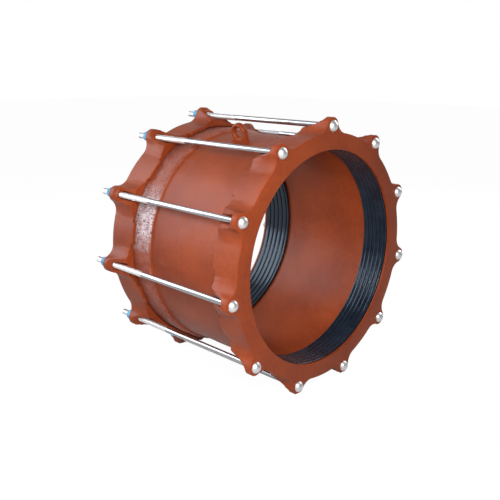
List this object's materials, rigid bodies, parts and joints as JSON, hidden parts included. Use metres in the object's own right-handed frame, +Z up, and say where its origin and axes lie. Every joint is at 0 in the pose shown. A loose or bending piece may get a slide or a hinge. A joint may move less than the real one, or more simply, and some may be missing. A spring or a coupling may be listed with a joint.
{
  "type": "bolted pipe coupling",
  "caption": "Large ductile iron pipe coupling: two lugged end rings drawn over a flared centre sleeve by long tie bolts, squeezing rubber gaskets onto the pipes.",
  "frame": {"origin": "centre of the pipe passage, at the middle of the centre sleeve", "axes": "+X along the pipe towards the bolt heads, +Z up through the top tie bolt"},
  "size_m": [0.546, 0.7062, 0.6994],
  "materials": {
    "iron_coating": "red-brown fusion bonded coating over cast ductile iron",
    "gasket_rubber": "moulded black rubber with ribbed bore",
    "stainless_bolt": "bright stainless steel",
    "nut_coating": "light blue low-friction coating"
  },
  "bodies": {
    "sleeve": {"centre_sleeve": "iron_coating", "head_end_gasket": "gasket_rubber", "nut_end_gasket": "gasket_rubber"},
    "head_end": {"head_end_ring": "iron_coating", "tie_bolt_01": "stainless_bolt", "tie_bolt_02": "stainless_bolt", "tie_bolt_03": "stainless_bolt", "tie_bolt_04": "stainless_bolt", "tie_bolt_05": "stainless_bolt", "tie_bolt_06": "stainless_bolt", "tie_bolt_07": "stainless_bolt", "tie_bolt_08": "stainless_bolt", "tie_bolt_09": "stainless_bolt", "tie_bolt_10": "stainless_bolt", "tie_bolt_11": "stainless_bolt"},
    "nut_end": {"nut_end_ring": "iron_coating"},
    "hex_nut_01": {"hex_nut_01": "nut_coating"},
    "hex_nut_02": {"hex_nut_02": "nut_coating"},
    "hex_nut_03": {"hex_nut_03": "nut_coating"},
    "hex_nut_04": {"hex_nut_04": "nut_coating"},
    "hex_nut_05": {"hex_nut_05": "nut_coating"},
    "hex_nut_06": {"hex_nut_06": "nut_coating"},
    "hex_nut_07": {"hex_nut_07": "nut_coating"},
    "hex_nut_08": {"hex_nut_08": "nut_coating"},
    "hex_nut_09": {"hex_nut_09": "nut_coating"},
    "hex_nut_10": {"hex_nut_10": "nut_coating"},
    "hex_nut_11": {"hex_nut_11": "nut_coating"}
  },
  "joints": [
    {"name": "head_ring_slide", "type": "slide", "parent": "sleeve", "child": "head_end", "axis": [-1, 0, 0], "range_m": [0, 0.008], "deforming": ["head_end_gasket"]},
    {"name": "nut_ring_slide", "type": "slide", "parent": "sleeve", "child": "nut_end", "axis": [1, 0, 0], "range_m": [0, 0.008], "deforming": ["nut_end_gasket"]},
    {"name": "hex_nut_01_turn", "type": "hinge", "parent": "nut_end", "child": "hex_nut_01", "pos_m": [-0.261, 0, 0.335], "axis": [1, 0, 0], "range_deg": [0, 2880]},
    {"name": "hex_nut_02_turn", "type": "hinge", "parent": "nut_end", "child": "hex_nut_02", "pos_m": [-0.261, 0.18111, 0.28182], "axis": [1, 0, 0], "range_deg": [0, 2880]},
    {"name": "hex_nut_03_turn", "type": "hinge", "parent": "nut_end", "child": "hex_nut_03", "pos_m": [-0.261, 0.30473, 0.13916], "axis": [1, 0, 0], "range_deg": [0, 2880]},
    {"name": "hex_nut_04_turn", "type": "hinge", "parent": "nut_end", "child": "hex_nut_04", "pos_m": [-0.261, 0.33159, -0.04768], "axis": [1, 0, 0], "range_deg": [0, 2880]},
    {"name": "hex_nut_05_turn", "type": "hinge", "parent": "nut_end", "child": "hex_nut_05", "pos_m": [-0.261, 0.25318, -0.21938], "axis": [1, 0, 0], "range_deg": [0, 2880]},
    {"name": "hex_nut_06_turn", "type": "hinge", "parent": "nut_end", "child": "hex_nut_06", "pos_m": [-0.261, 0.09438, -0.32143], "axis": [1, 0, 0], "range_deg": [0, 2880]},
    {"name": "hex_nut_07_turn", "type": "hinge", "parent": "nut_end", "child": "hex_nut_07", "pos_m": [-0.261, -0.09438, -0.32143], "axis": [1, 0, 0], "range_deg": [0, 2880]},
    {"name": "hex_nut_08_turn", "type": "hinge", "parent": "nut_end", "child": "hex_nut_08", "pos_m": [-0.261, -0.25318, -0.21938], "axis": [1, 0, 0], "range_deg": [0, 2880]},
    {"name": "hex_nut_09_turn", "type": "hinge", "parent": "nut_end", "child": "hex_nut_09", "pos_m": [-0.261, -0.33159, -0.04768], "axis": [1, 0, 0], "range_deg": [0, 2880]},
    {"name": "hex_nut_10_turn", "type": "hinge", "parent": "nut_end", "child": "hex_nut_10", "pos_m": [-0.261, -0.30473, 0.13916], "axis": [1, 0, 0], "range_deg": [0, 2880]},
    {"name": "hex_nut_11_turn", "type": "hinge", "parent": "nut_end", "child": "hex_nut_11", "pos_m": [-0.261, -0.18111, 0.28182], "axis": [1, 0, 0], "range_deg": [0, 2880]}
  ],
  "couplings": [
    {"joint": "nut_ring_slide", "follows": "head_ring_slide", "ratio": 1},
    {"joint": "hex_nut_01_turn", "follows": "head_ring_slide", "rad_per_m": 6283.2},
    {"joint": "hex_nut_02_turn", "follows": "head_ring_slide", "rad_per_m": 6283.2},
    {"joint": "hex_nut_03_turn", "follows": "head_ring_slide", "rad_per_m": 6283.2},
    {"joint": "hex_nut_04_turn", "follows": "head_ring_slide", "rad_per_m": 6283.2},
    {"joint": "hex_nut_05_turn", "follows": "head_ring_slide", "rad_per_m": 6283.2},
    {"joint": "hex_nut_06_turn", "follows": "head_ring_slide", "rad_per_m": 6283.2},
    {"joint": "hex_nut_07_turn", "follows": "head_ring_slide", "rad_per_m": 6283.2},
    {"joint": "hex_nut_08_turn", "follows": "head_ring_slide", "rad_per_m": 6283.2},
    {"joint": "hex_nut_09_turn", "follows": "head_ring_slide", "rad_per_m": 6283.2},
    {"joint": "hex_nut_10_turn", "follows": "head_ring_slide", "rad_per_m": 6283.2},
    {"joint": "hex_nut_11_turn", "follows": "head_ring_slide", "rad_per_m": 6283.2}
  ]
}
